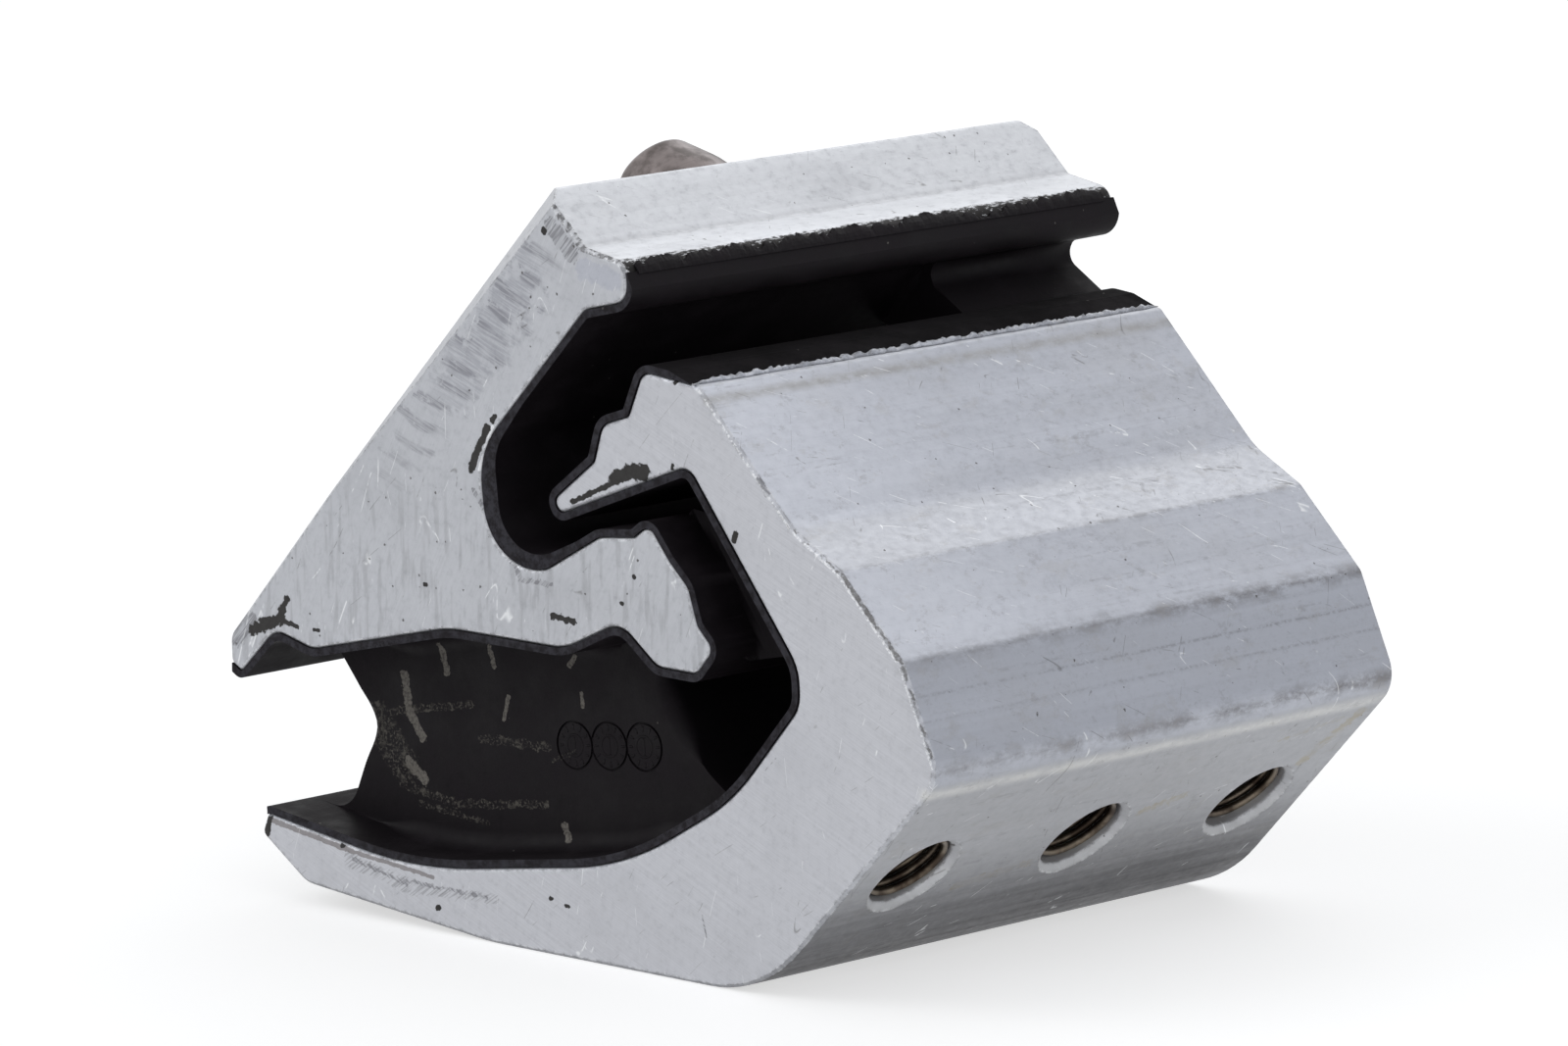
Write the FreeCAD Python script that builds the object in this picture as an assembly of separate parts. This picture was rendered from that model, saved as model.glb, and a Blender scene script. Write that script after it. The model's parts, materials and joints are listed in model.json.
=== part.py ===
import FreeCAD, Part
import math
import os
from FreeCAD import Vector

# Bonded engine mount: two extruded aluminium profiles that hook into each
# other, joined by one moulded rubber spring. Millimetres, +Z up, extrusion
# along Y. The origin is the middle of the lower profile's foot.

# Lengths along the extrusion
LOWER_LENGTH = 110.0
UPPER_OVERHANG = 2.5        # upper profile past each end of the lower one

# Lower profile: foot, heel and bolt face
FOOT_HALF = 21.5            # half width of the flat foot
FOOT_RISE = 3.8             # rise of the toe from the foot to its tip
TOE_REACH = 73.0            # foot centre to the toe's tip
HEEL = Vector(37.3, 0, 0)   # where foot and bolt face would meet
HEEL_RADIUS = 26.0
BOLT_FACE_ANGLE = 46.6      # bolt face above the foot, degrees
BOLT_FACE_LENGTH = 53.6     # from the heel's corner to the flank's corner
LOWER_HOOK = Vector(12.1, 0, 95.3)

# Upper profile: back face, nib and nose arm
APEX = Vector(-7.0, 0, 122.4)
BACK_FACE_ANGLE = 48.5      # back face above the foot, degrees
BACK_FACE_LENGTH = 106.2
NOSE = Vector(29.6, 0, 53.9)
END_BEVEL = 3.5             # bevel of the back edges at the apex
END_BEVEL_RUN = 84.0        # how far down the back face the bevel runs out
EDGE_BREAK = 0.5            # sawn ends are broken by this much

# Rubber
SKIN = 1.2                  # rubber skin on every bonded surface
MAIN_BLOCK_SETBACK = 10.0   # main block from each end of the lower profile
SIDE_BLOCK_SETBACK = 2.0    # side block from each end of the lower profile
SIDE_BLOCK_DISH = 5.5       # depth of the trough in each end of the side block
SIDE_BLOCK_TROUGH = 9.0     # radius of that trough
STOP_BLOCK_LENGTH = 34.0    # rebound stop in the slot, at the far end only
CLOCK_PLACE = Vector(-4.6, 0, 32.5)     # middle one of the blank date clocks
CLOCK_PITCH = 7.6
CLOCK_SLOPE = 6.5           # the row of clocks rises by this angle
CLOCK_RADIUS = 4.0
CLOCK_GROOVE = 0.4          # width and depth of the ring round each clock

# Bolt rows and wire thread inserts (M14 x 1.5)
HOLE_PITCH = 40.0
HOLE_COUNT = 3
THREAD_RADIUS = 6.2         # inside of the fitted insert
INSERT_WALL = 1.4
INSERT_LENGTH = 17.5
INSERT_RECESS = 1.3         # insert's first turn below the face
HOLE_DEPTH = 20.0
DRILL_POINT_ANGLE = 118.0
COUNTERSINK_RADIUS = 8.65
BRACKET_ROW = 26.6          # row of holes from the heel's corner, up the face
ENGINE_ROW = 66.0           # row of holes from the apex, down the back face

# Locating pin in the back face
PIN_RADIUS = 11.0
PIN_PLACE = 24.3            # from the apex, down the back face
PIN_PROUD = 20.3
PIN_STEP = 1.5              # step from the pin down to its pressed shank
PIN_DEPTH = 13.0
PIN_LEAD_ANGLE = 26.0       # half angle of the lead-in cone
PIN_TIP_RADIUS = 6.1
PIN_TIP_ROUND = 2.7

LOWER_ENDS = (-LOWER_LENGTH / 2, LOWER_LENGTH / 2)
UPPER_ENDS = (LOWER_ENDS[0] - UPPER_OVERHANG, LOWER_ENDS[1] + UPPER_OVERHANG)
Y_AXIS = Vector(0, 1, 0)


def direction(angle):
    """Unit vector in the section plane, angle in degrees above +X."""
    return Vector(math.cos(math.radians(angle)), 0, math.sin(math.radians(angle)))


BACK_DOWN = direction(180 + BACK_FACE_ANGLE)
BACK_OUT = direction(90 + BACK_FACE_ANGLE)
BOLT_UP = direction(BOLT_FACE_ANGLE)
BOLT_OUT = direction(BOLT_FACE_ANGLE - 90)
FLANK = HEEL + BOLT_UP * BOLT_FACE_LENGTH
TIP = APEX + BACK_DOWN * BACK_FACE_LENGTH


def near(place, corners):
    """Corners given as (dx, dz, radius) from a place in the section."""
    return [(place.x + dx, place.z + dz, radius) for dx, dz, radius in corners]


def lower_corners():
    """Section of the lower profile: outside, toe, floor, inner wall and hook."""
    outside = [
        (HEEL.x, HEEL.z, HEEL_RADIUS),
        (-FOOT_HALF, 0, 60.0),
    ]
    toe = near(Vector(-TOE_REACH, 0, FOOT_RISE), [
        (10.0, 0.0, 6.0), (0.0, 6.8, 1.2), (1.4, 10.4, 1.2)])
    floor = [
        (-38.5, 9.6, 90.0), (8.0, 16.5, 60.0), (31.0, 30.0, 40.0),
        (45.0, 46.5, 5.0), (44.8, 52.5, 8.0), (21.8, 81.3, 3.0)]
    hook = near(LOWER_HOOK, [
        (-17.7, -24.6, 1.5), (-19.4, -22.4, 1.5), (-10.5, -15.4, 1.2),
        (-8.7, -9.3, 3.0), (-3.1, -7.4, 1.0), (0.0, 0.0, 2.5), (11.9, -1.1, 1.2)])
    flank = near(FLANK, [
        (-30.1, 35.0, 14.0), (-20.4, 29.8, 3.0), (-7.7, 17.3, 3.0), (0.0, 0.0, 6.0)])
    return outside + toe + floor + hook + flank


def upper_corners():
    """Section of the upper profile: apex, nib, hollow, nose arm and lip."""
    nib = near(APEX, [
        (0.0, 0.0, 0.8), (8.9, -8.5, 1.0), (18.2, -10.1, 3.2),
        (18.4, -16.2, 3.2), (9.2, -18.4, 3.0)])
    hollow = [
        (-20.9, 79.2, 12.0), (-18.6, 60.9, 10.5), (-6.5, 62.2, 5.0)]
    nose = near(NOSE, [
        (-24.4, 14.9, 4.0), (-17.0, 15.7, 1.2), (-13.8, 18.1, 2.0),
        (-9.4, 12.8, 2.0), (-5.4, 9.1, 4.0), (-3.4, 3.3, 2.0), (0.0, 0.0, 1.8),
        (-3.7, -4.4, 2.0), (-12.1, -4.3, 4.0), (-20.1, 1.7, 5.0), (-32.1, -3.9, 12.0),
        (-57.6, -3.9, 25.0)])
    underside = near(TIP, [
        (18.9, 0.0, 6.0), (10.4, 2.1, 4.0),
        (2.6, -5.7, 1.0), (0.2, -4.3, 1.2), (0.0, 0.0, 2.5)])
    return nib + hollow + nose + underside


def outline(corners):
    """Closed wire in the XZ plane; each corner is rounded by its own radius."""
    places = [Vector(x, 0, z) for x, z, _ in corners]
    arcs = []
    for index, here in enumerate(places):
        to_last = (places[index - 1] - here).normalize()
        to_next = (places[(index + 1) % len(places)] - here).normalize()
        half = to_last.getAngle(to_next) / 2
        radius = corners[index][2]
        setback = radius / math.tan(half)
        middle = (to_last + to_next).normalize() * (radius / math.sin(half) - radius)
        arcs.append((here + to_last * setback, here + middle, here + to_next * setback))
    edges = []
    for index, (start, middle, end) in enumerate(arcs):
        edges.append(Part.LineSegment(arcs[index - 1][2], start).toShape())
        edges.append(Part.Arc(start, middle, end).toShape())
    return Part.Wire(edges)


def section(corners):
    return Part.Face(outline(corners))


def region(points):
    """Flat face inside straight lines between places in the section."""
    corners = [Vector(x, 0, z) for x, z in points]
    return Part.Face(Part.makePolygon(corners + corners[:1]))


def extrude(face, start, end):
    moved = face.copy()
    moved.translate(Y_AXIS * start)
    return moved.extrude(Y_AXIS * (end - start))


def break_end_edges(solid, ends, edge_break):
    """Break the edges of the sawn ends."""
    chosen = [edge for edge in solid.Edges
              if any(abs(edge.BoundBox.YMin - y) < 0.01 and abs(edge.BoundBox.YMax - y) < 0.01
                     for y in ends)]
    return solid.makeChamfer(edge_break, chosen)


def bevel_wedge(end, inward):
    """Tetrahedron that bevels a back edge and runs out towards the tip."""
    over = 20.0
    top = APEX + Y_AXIS * end - BACK_DOWN * over + BACK_OUT * 0.01
    size = END_BEVEL * (END_BEVEL_RUN + over) / END_BEVEL_RUN
    foot = APEX + Y_AXIS * end + BACK_DOWN * END_BEVEL_RUN
    corners = [top, top + Y_AXIS * inward * size, top - BACK_OUT * size, foot]
    faces = []
    for a, b, c in ((0, 1, 2), (0, 1, 3), (1, 2, 3), (0, 2, 3)):
        faces.append(Part.Face(Part.makePolygon([corners[a], corners[b], corners[c], corners[a]])))
    return Part.Solid(Part.Shell(faces))


def insert_hole(mouth, outward):
    """Drilled and countersunk hole for a wire thread insert."""
    radius = THREAD_RADIUS + INSERT_WALL
    flare = COUNTERSINK_RADIUS - radius
    point = radius / math.tan(math.radians(DRILL_POINT_ANGLE / 2))
    inward = outward * -1
    hole = Part.makeCylinder(radius, HOLE_DEPTH + 1, mouth + outward, inward)
    tip = Part.makeCone(radius, 0, point, mouth + inward * HOLE_DEPTH, inward)
    sink = Part.makeCone(COUNTERSINK_RADIUS + 1, radius, flare + 1, mouth + outward, inward)
    return hole.fuse([tip, sink])


def insert_sleeve(mouth, outward):
    """Envelope of the fitted wire insert: its outside fills the tapped hole."""
    inward = outward * -1
    start = mouth + inward * INSERT_RECESS
    outer = Part.makeCylinder(THREAD_RADIUS + INSERT_WALL, INSERT_LENGTH, start, inward)
    inner = Part.makeCylinder(THREAD_RADIUS, INSERT_LENGTH, start, inward)
    return outer.cut(inner)


def row_mouths(place):
    """Hole mouths along the length, centred on the profiles."""
    return [place + Y_AXIS * HOLE_PITCH * (number - (HOLE_COUNT - 1) / 2)
            for number in range(HOLE_COUNT)]


def bracket_mouths():
    return row_mouths(HEEL + BOLT_UP * BRACKET_ROW)


def engine_mouths():
    return row_mouths(APEX + BACK_DOWN * ENGINE_ROW)


def pin_root():
    return APEX + BACK_DOWN * PIN_PLACE


def lower_profile(face):
    solid = break_end_edges(extrude(face, *LOWER_ENDS), LOWER_ENDS, EDGE_BREAK)
    return solid.cut([insert_hole(mouth, BOLT_OUT) for mouth in bracket_mouths()])


def upper_profile(face):
    solid = break_end_edges(extrude(face, *UPPER_ENDS), UPPER_ENDS, EDGE_BREAK)
    holes = [insert_hole(mouth, BACK_OUT) for mouth in engine_mouths()]
    socket = Part.makeCylinder(
        PIN_RADIUS - PIN_STEP, PIN_DEPTH + 1, pin_root() + BACK_OUT, BACK_OUT * -1)
    bevels = [bevel_wedge(UPPER_ENDS[0], 1), bevel_wedge(UPPER_ENDS[1], -1)]
    return solid.cut(holes + [socket] + bevels)


def locating_pin():
    """Press-fitted pin with a conical lead-in and a rounded flat end."""
    lead = math.radians(PIN_LEAD_ANGLE)
    shoulder = PIN_PROUD - (PIN_RADIUS - PIN_TIP_RADIUS) / math.tan(lead)
    shank = PIN_RADIUS - PIN_STEP
    places = [(0, -PIN_DEPTH), (shank, -PIN_DEPTH), (shank, 0), (PIN_RADIUS, 0),
              (PIN_RADIUS, shoulder), (PIN_TIP_RADIUS, PIN_PROUD), (0, PIN_PROUD)]
    half = Part.makePolygon([Vector(x, 0, z) for x, z in places + places[:1]])
    pin = Part.Face(half).revolve(Vector(), Vector(0, 0, 1), 360)
    rim = [edge for edge in pin.Edges
           if abs(edge.BoundBox.ZMin - PIN_PROUD) < 0.01 and edge.Length > PIN_TIP_RADIUS
           and abs(edge.BoundBox.ZMax - PIN_PROUD) < 0.01 and edge.Closed]
    pin = pin.makeFillet(PIN_TIP_ROUND, rim)
    pin.Placement = FreeCAD.Placement(pin_root(), FreeCAD.Rotation(Vector(0, 0, 1), BACK_OUT))
    return pin


def skin(face, mask):
    """Rubber band that follows the section's edge inside the mask."""
    return face.makeOffset2D(SKIN).cut(face).common(mask)


def main_block():
    """Block under the nose arm: both free sides are hollow curves."""
    left = near(TIP, [
        (12.0, 7.0, 0.5), (3.5, -1.0, 0.5), (3.8, -4.8, 0.5), (9.8, 0.8, 3.0),
        (21.4, -12.9, 8.0)])
    toe = near(Vector(-TOE_REACH, 0, FOOT_RISE), [
        (10.6, 10.4, 5.0), (3.0, 11.4, 0.5), (4.0, 8.0, 0.5), (13.0, 2.2, 0.5)])
    right = [
        (20.0, 8.0, 1.0), (33.0, 28.0, 0.5), (30.5, 31.0, 1.5), (23.7, 26.4, 5.0),
        (15.7, 31.8, 12.0), (6.8, 45.8, 10.0), (5.2, 52.0, 3.0), (1.0, 50.9, 0.5),
        (0.0, 54.0, 0.5), (-28.0, 54.0, 1.0)]
    return section(left + toe + right)


def side_block():
    """Block between the nose arm and the lower profile's inner wall."""
    return section([
        (15.5, 69.5, 0.5), (16.6, 73.4, 0.5), (21.0, 72.6, 6.0), (26.6, 73.8, 2.0),
        (26.3, 76.5, 0.5), (30.0, 75.5, 1.0), (50.0, 66.0, 1.0), (49.0, 48.0, 1.0),
        (44.0, 47.5, 0.5), (43.3, 51.7, 3.0), (36.0, 52.4, 8.0), (30.0, 51.2, 1.0),
        (24.0, 54.0, 1.0)])


def stop_block():
    """Rebound stop between the nib, the hollow and the lower profile's hook."""
    return section([
        (6.5, 106.0, 0.5), (3.2, 100.6, 2.5), (13.0, 94.5, 0.5), (12.0, 86.0, 1.0),
        (4.5, 83.0, 0.5), (-1.3, 90.6, 4.0), (-11.0, 94.5, 1.0), (-4.0, 102.0, 1.0)])


def hollow_pad():
    """Thicker rubber round the blind end of the upper profile's hollow."""
    return section([
        (-9.5, 90.0, 0.5), (-17.6, 79.8, 8.0), (-15.6, 63.4, 8.0), (-6.0, 64.6, 6.0),
        (2.5, 68.4, 0.5), (0.0, 60.0, 1.0), (-24.0, 58.0, 1.0), (-26.0, 80.0, 1.0),
        (-14.0, 92.0, 1.0)])


def side_troughs():
    """Cylinders that hollow the side block's ends, along the slanting gap."""
    top, foot = Vector(21.5, 0, 73.5), Vector(37.0, 0, 51.5)
    along = (foot - top).normalize()
    troughs = []
    for end, outward in ((LOWER_ENDS[0] + SIDE_BLOCK_SETBACK, -1),
                         (LOWER_ENDS[1] - SIDE_BLOCK_SETBACK, 1)):
        middle = end + outward * (SIDE_BLOCK_TROUGH - SIDE_BLOCK_DISH)
        start = top - along * 15 + Y_AXIS * middle
        troughs.append(Part.makeCylinder(SIDE_BLOCK_TROUGH, 60, start, along))
    return troughs


def date_clocks(wall):
    """Ring grooves of the blank date clocks in the main block's end wall."""
    rings = []
    for number in (-1, 0, 1):
        centre = CLOCK_PLACE + direction(CLOCK_SLOPE) * CLOCK_PITCH * number + Y_AXIS * wall
        ring = Part.makeCylinder(CLOCK_RADIUS, CLOCK_GROOVE, centre, Y_AXIS)
        core = Part.makeCylinder(CLOCK_RADIUS - CLOCK_GROOVE, CLOCK_GROOVE, centre, Y_AXIS)
        rings.append(ring.cut(core))
    return rings


def rubber_spring(lower, upper):
    """One moulding: a skin on both profiles, and three blocks between them."""
    upper_mask = region([
        (-4, 104), (8, 110.8), (11.3, 110.8), (13.2, 106.8), (40, 106), (40, 30),
        (TIP.x + 0.5, 30), (TIP.x + 0.5, TIP.z - 3.5), (TIP.x + 11, TIP.z + 5), (-20, 56),
        (-26, 78)])
    lower_mask = region([
        (13.5, 97.5), (22.8, 94.2), (22.8, 88), (56, 50), (30, 18), (-30, 5),
        (1.5 - TOE_REACH, 13), (1.0 - TOE_REACH, 20), (-60, 60), (-30, 100)])
    profiles = lower.fuse(upper)
    main_ends = (LOWER_ENDS[0] + MAIN_BLOCK_SETBACK, LOWER_ENDS[1] - MAIN_BLOCK_SETBACK)
    main = extrude(main_block().cut(profiles), *main_ends).cut(date_clocks(main_ends[0]))
    side = extrude(side_block().cut(profiles),
                   LOWER_ENDS[0] + SIDE_BLOCK_SETBACK, LOWER_ENDS[1] - SIDE_BLOCK_SETBACK)
    stop = extrude(stop_block().cut(profiles), LOWER_ENDS[1] - STOP_BLOCK_LENGTH, LOWER_ENDS[1])
    skins = [extrude(skin(lower, lower_mask), *LOWER_ENDS),
             extrude(skin(upper, upper_mask), *UPPER_ENDS),
             extrude(hollow_pad().cut(upper), *UPPER_ENDS)]
    return main.fuse([side.cut(side_troughs()), stop] + skins).removeSplitter()


def build():
    lower = section(lower_corners())
    upper = section(upper_corners())
    nodes = {
        "lower_profile": lower_profile(lower),
        "upper_profile": upper_profile(upper),
        "rubber_spring": rubber_spring(lower, upper),
        "locating_pin": locating_pin(),
    }
    for number, mouth in enumerate(bracket_mouths(), start=1):
        nodes["bracket_insert_%d" % number] = insert_sleeve(mouth, BOLT_OUT)
    for number, mouth in enumerate(engine_mouths(), start=1):
        nodes["engine_insert_%d" % number] = insert_sleeve(mouth, BACK_OUT)
    return nodes


os.makedirs("parts", exist_ok=True)
for name, shape in build().items():
    shape.exportStep("parts/%s.step" % name)
    print(name, len(shape.Solids), shape.isValid(), round(shape.Volume / 1000, 2), "cm3")
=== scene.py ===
import json
import math

import bpy
from mathutils import Matrix, Vector, noise

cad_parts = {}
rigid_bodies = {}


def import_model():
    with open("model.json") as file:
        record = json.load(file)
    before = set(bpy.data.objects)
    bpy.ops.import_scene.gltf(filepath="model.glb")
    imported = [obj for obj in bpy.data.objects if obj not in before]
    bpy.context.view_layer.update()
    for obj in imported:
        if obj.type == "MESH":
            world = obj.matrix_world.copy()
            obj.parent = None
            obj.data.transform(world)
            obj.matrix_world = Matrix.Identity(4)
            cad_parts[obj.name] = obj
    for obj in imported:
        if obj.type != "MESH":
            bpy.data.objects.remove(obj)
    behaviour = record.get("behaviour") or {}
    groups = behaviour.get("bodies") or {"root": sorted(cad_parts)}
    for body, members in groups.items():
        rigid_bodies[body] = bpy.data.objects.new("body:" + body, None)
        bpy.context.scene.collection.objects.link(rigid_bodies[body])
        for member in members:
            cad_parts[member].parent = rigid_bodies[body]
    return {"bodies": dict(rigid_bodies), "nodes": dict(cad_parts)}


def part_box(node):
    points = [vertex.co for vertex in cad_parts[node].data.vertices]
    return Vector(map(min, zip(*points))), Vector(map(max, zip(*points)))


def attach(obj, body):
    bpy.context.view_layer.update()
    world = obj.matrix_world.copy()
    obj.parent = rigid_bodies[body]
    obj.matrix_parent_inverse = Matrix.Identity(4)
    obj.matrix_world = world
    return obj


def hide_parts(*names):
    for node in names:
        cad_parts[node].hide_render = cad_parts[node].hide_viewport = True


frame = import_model()
nodes = frame["nodes"]
BODY = list(frame["bodies"])[0]


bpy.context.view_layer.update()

# Bonded engine mount: two sawn aluminium extrusions, hooked into each other and
# joined by black moulded rubber. Places are in millimetres in the section (x, z)
# and along the extrusion (y); MM turns them into metres.
MM = 0.001
APEX = Vector((-7.0, 0, 122.4))
BACK_SLOPE = 48.5               # back face above the foot, degrees
BOLT_SLOPE = 46.6               # bolt face above the foot, degrees
BOLT_FACE_FOOT = 37.3           # where the bolt face would meet the foot
LOWER_CUT = 55.0                # sawn ends of the lower profile, from the middle
UPPER_CUT = 57.5                # sawn ends of the upper profile
HOLE_PITCH = 40.0
BOLT_ROW_UP = 26.6              # bracket holes, up the bolt face from its foot
BACK_ROW_DOWN = 66.0            # engine holes, down the back face from the apex
BLOCK_WALL, BLOCK_ROUND = 45.0, 3.0     # end walls of the main rubber block
STOP_WALL, STOP_ROUND = 21.0, 1.5       # end wall of the rebound stop
CLOCK_MIDDLE = (-4.6, 32.5)
CLOCK_PITCH, CLOCK_SLOPE = 7.6, 6.5
FLANK_CREASES = ((53.7, 68.7), (66.4, 56.2))
FLANK_WEAR = (72.9, 39.9)
FLANK_HIGHLIGHT_LINE = (71.2, 36.2)
HOOK_EDGE = (24.0, 94.2)
NIB_CORNERS = ((1.9, 113.9), (11.2, 112.3), (11.4, 106.2))
NIB_ROUND = 3.2
THREAD_PITCH = 1.5
WIRE_INSIDE, WIRE_OUTSIDE, WIRE_TURNS = 6.2, 7.6, 11
WIRE_HALF = 0.47                # half a diamond wire's height, in pitches
PIN_PLACE = 24.3                # down the back face from the apex
PIN_RADIUS, PIN_SHANK, PIN_TIP = 11.0, 9.5, 6.1
PIN_DEPTH, PIN_SHOULDER, PIN_PROUD = 13.0, 10.25, 20.3
PIN_SHOULDER_ROUND, PIN_TIP_ROUND = 4.0, 1.7
SHARP = 0.9                     # normals of two faces that meet in a sharp edge
ON_WALL = 0.02                  # how exactly a corner lies on a wall or a rim
SAME_PLACE = 0.001 * MM         # corners nearer than this are one
SEAM = 0.01 * MM                # facets of one surface meet within this
SLIVER = 0.03 * MM              # leftovers of a tapered rounding


def upward(angle):
    """Direction in the section, degrees above +X."""
    return Vector((math.cos(math.radians(angle)), 0, math.sin(math.radians(angle))))


BRACKET_ROW = Vector((BOLT_FACE_FOOT, 0, 0)) + BOLT_ROW_UP * upward(BOLT_SLOPE)
ENGINE_ROW = APEX - BACK_ROW_DOWN * upward(BACK_SLOPE)


# ------------------------------------------------------------ material tools

def shader(name):
    """A new material; returns it with its node tree and main shader."""
    material = bpy.data.materials.new(name)
    material.use_nodes = True
    tree = material.node_tree
    return material, tree, tree.nodes["Principled BSDF"]


def put(tree, kind, inputs, **settings):
    """Adds one node, sets it up, and links or sets its inputs."""
    made = tree.nodes.new("ShaderNode" + kind)
    for setting, value in settings.items():
        setattr(made, setting, value)
    for socket, value in inputs.items():
        if isinstance(value, bpy.types.NodeSocket):
            tree.links.new(value, made.inputs[socket])
        else:
            made.inputs[socket].default_value = value
    return made


def reckon(tree, operation, *values):
    """One step of arithmetic on masks and numbers."""
    return put(tree, "Math", dict(enumerate(values)), operation=operation).outputs[0]


def measure(tree, operation, *values):
    """One step of arithmetic on vectors; gives the vector and the number it makes."""
    return put(tree, "VectorMath", dict(enumerate(values)), operation=operation).outputs


def times(tree, *masks):
    """The product of several masks."""
    product = masks[0]
    for mask in masks[1:]:
        product = reckon(tree, "MULTIPLY", product, mask)
    return product


def most(tree, *masks):
    """The strongest of several masks."""
    strongest = masks[0]
    for mask in masks[1:]:
        strongest = reckon(tree, "MAXIMUM", strongest, mask)
    return strongest


def fade(tree, value, start, end, first=0.0, last=1.0):
    """Runs smoothly from first to last while the value goes from start to end."""
    ends = {"From Min": start, "From Max": end, "To Min": first, "To Max": last}
    return put(tree, "MapRange", {"Value": value, **ends},
               interpolation_type="SMOOTHSTEP").outputs[0]


def lay(tree, amount, under, over):
    """Colour over laid on colour under, by the amount."""
    return put(tree, "Mix", {0: amount, 6: under, 7: over}, data_type="RGBA").outputs[2]


def split(tree, vector):
    """The x, y and z of a place or direction."""
    return put(tree, "SeparateXYZ", {0: vector}).outputs


def millimetres(tree):
    """Place on the piece, in millimetres, and its surface normal."""
    here = put(tree, "TexCoord", {})
    place = put(tree, "VectorMath", {0: here.outputs["Object"], "Scale": 1000.0},
                operation="SCALE")
    return place.outputs[0], here.outputs["Normal"]


def turned(tree, place, origin=(0, 0, 0), slope=0.0, sizes=(1, 1, 1)):
    """Place seen from an origin, turned about Y by the slope, in units of the sizes."""
    made = put(tree, "Mapping", {"Vector": place, "Location": origin,
                                 "Rotation": (0, math.radians(slope), 0), "Scale": sizes},
               vector_type="TEXTURE")
    return made.outputs[0]


def grain(tree, place, sizes, slope=0.0, detail=2.0, rough=0.5):
    """Noise whose spots have the given sizes in millimetres."""
    spot = turned(tree, place, slope=slope, sizes=sizes)
    made = put(tree, "TexNoise", {"Vector": spot, "Scale": 1.0, "Detail": detail,
                                  "Roughness": rough})
    return made.outputs[0]


def hairlines(tree, place, turn, width, share):
    """Long, nearly straight hair scratches, broken into short runs."""
    spot = put(tree, "Mapping", {"Vector": place, "Scale": (46, 5, 46),
                                 "Rotation": [math.radians(part) for part in turn]},
               vector_type="TEXTURE").outputs[0]
    wave = put(tree, "TexNoise", {"Vector": spot, "Scale": 1.0, "Detail": 0.5}).outputs[0]
    line = reckon(tree, "ABSOLUTE", reckon(tree, "SUBTRACT", wave, 0.5))
    runs = grain(tree, place, (5, 5, 5), turn[1], detail=3.0, rough=0.6)
    return times(tree, fade(tree, line, width, 0), fade(tree, runs, share, share + 0.06))


def specks(tree, place, pitch, reach, share):
    """Scattered small uneven dots; share is how many of the cells hold one."""
    wander = put(tree, "TexNoise",
                 {"Vector": place, "Scale": 2.2, "Detail": 1.0}).outputs["Color"]
    spot = measure(tree, "MULTIPLY_ADD", wander, (reach * 1.6,) * 3, place)[0]
    cells = put(tree, "TexVoronoi", {"Vector": spot, "Scale": 1 / pitch})
    chosen = put(tree, "SeparateColor", {0: cells.outputs["Color"]})
    size = times(tree, chosen.outputs[1], reach / pitch)
    dot = reckon(tree, "LESS_THAN", cells.outputs["Distance"], size)
    return times(tree, dot, reckon(tree, "LESS_THAN", chosen.outputs[0], share))


def smear_tool():
    """Group: a ragged smear along a line between two places, all in millimetres."""
    group = bpy.data.node_groups.new("smear", "ShaderNodeTree")
    for name, kind in (("Place", "Vector"), ("Start", "Vector"), ("End", "Vector"),
                       ("Reach", "Float"), ("Ragged", "Float")):
        group.interface.new_socket(name, in_out="INPUT", socket_type="NodeSocket" + kind)
    group.interface.new_socket("Mask", in_out="OUTPUT", socket_type="NodeSocketFloat")
    given = group.nodes.new("NodeGroupInput").outputs

    def scaled(vector, size):
        return put(group, "VectorMath", {0: vector, "Scale": size},
                   operation="SCALE").outputs[0]

    rag = put(group, "TexNoise", {"Vector": given["Place"], "Scale": 0.9, "Detail": 3.0,
                                  "Roughness": 0.6}).outputs[1]
    rag = scaled(measure(group, "SUBTRACT", rag, (0.5, 0.5, 0.5))[0], given["Ragged"])
    place = measure(group, "ADD", given["Place"], rag)[0]
    along = measure(group, "SUBTRACT", given["End"], given["Start"])[0]
    offset = measure(group, "SUBTRACT", place, given["Start"])[0]
    share = put(group, "Math", {0: measure(group, "DOT_PRODUCT", offset, along)[1],
                                1: measure(group, "DOT_PRODUCT", along, along)[1]},
                operation="DIVIDE", use_clamp=True).outputs[0]
    gap = measure(group, "DISTANCE", offset, scaled(along, share))[1]
    mask = fade(group, gap, given["Reach"], times(group, given["Reach"], 0.8))
    out = group.nodes.new("NodeGroupOutput")
    group.links.new(mask, out.inputs["Mask"])
    return group


SMEAR = smear_tool()


def smears(tree, place, lines):
    """All the smears of one kind: each is start, end, reach and raggedness.

    The end is moved by a thousandth of a millimetre, so that no smear is without length.
    """
    masks = []
    for start, end, reach, ragged in lines:
        made = put(tree, "Group", {}, node_tree=SMEAR)
        tree.links.new(place, made.inputs["Place"])
        made.inputs["Start"].default_value = start
        made.inputs["End"].default_value = (end[0], end[1] + 0.001, end[2])
        made.inputs["Reach"].default_value = reach
        made.inputs["Ragged"].default_value = ragged
        masks.append(made.outputs[0])
    return most(tree, *masks)


def in_section(y, lines):
    """Smears from (x, z) to (x, z), with reach and raggedness, in one plane across."""
    return [((a, y, b), (c, y, d), reach, ragged) for a, b, c, d, reach, ragged in lines]


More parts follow.
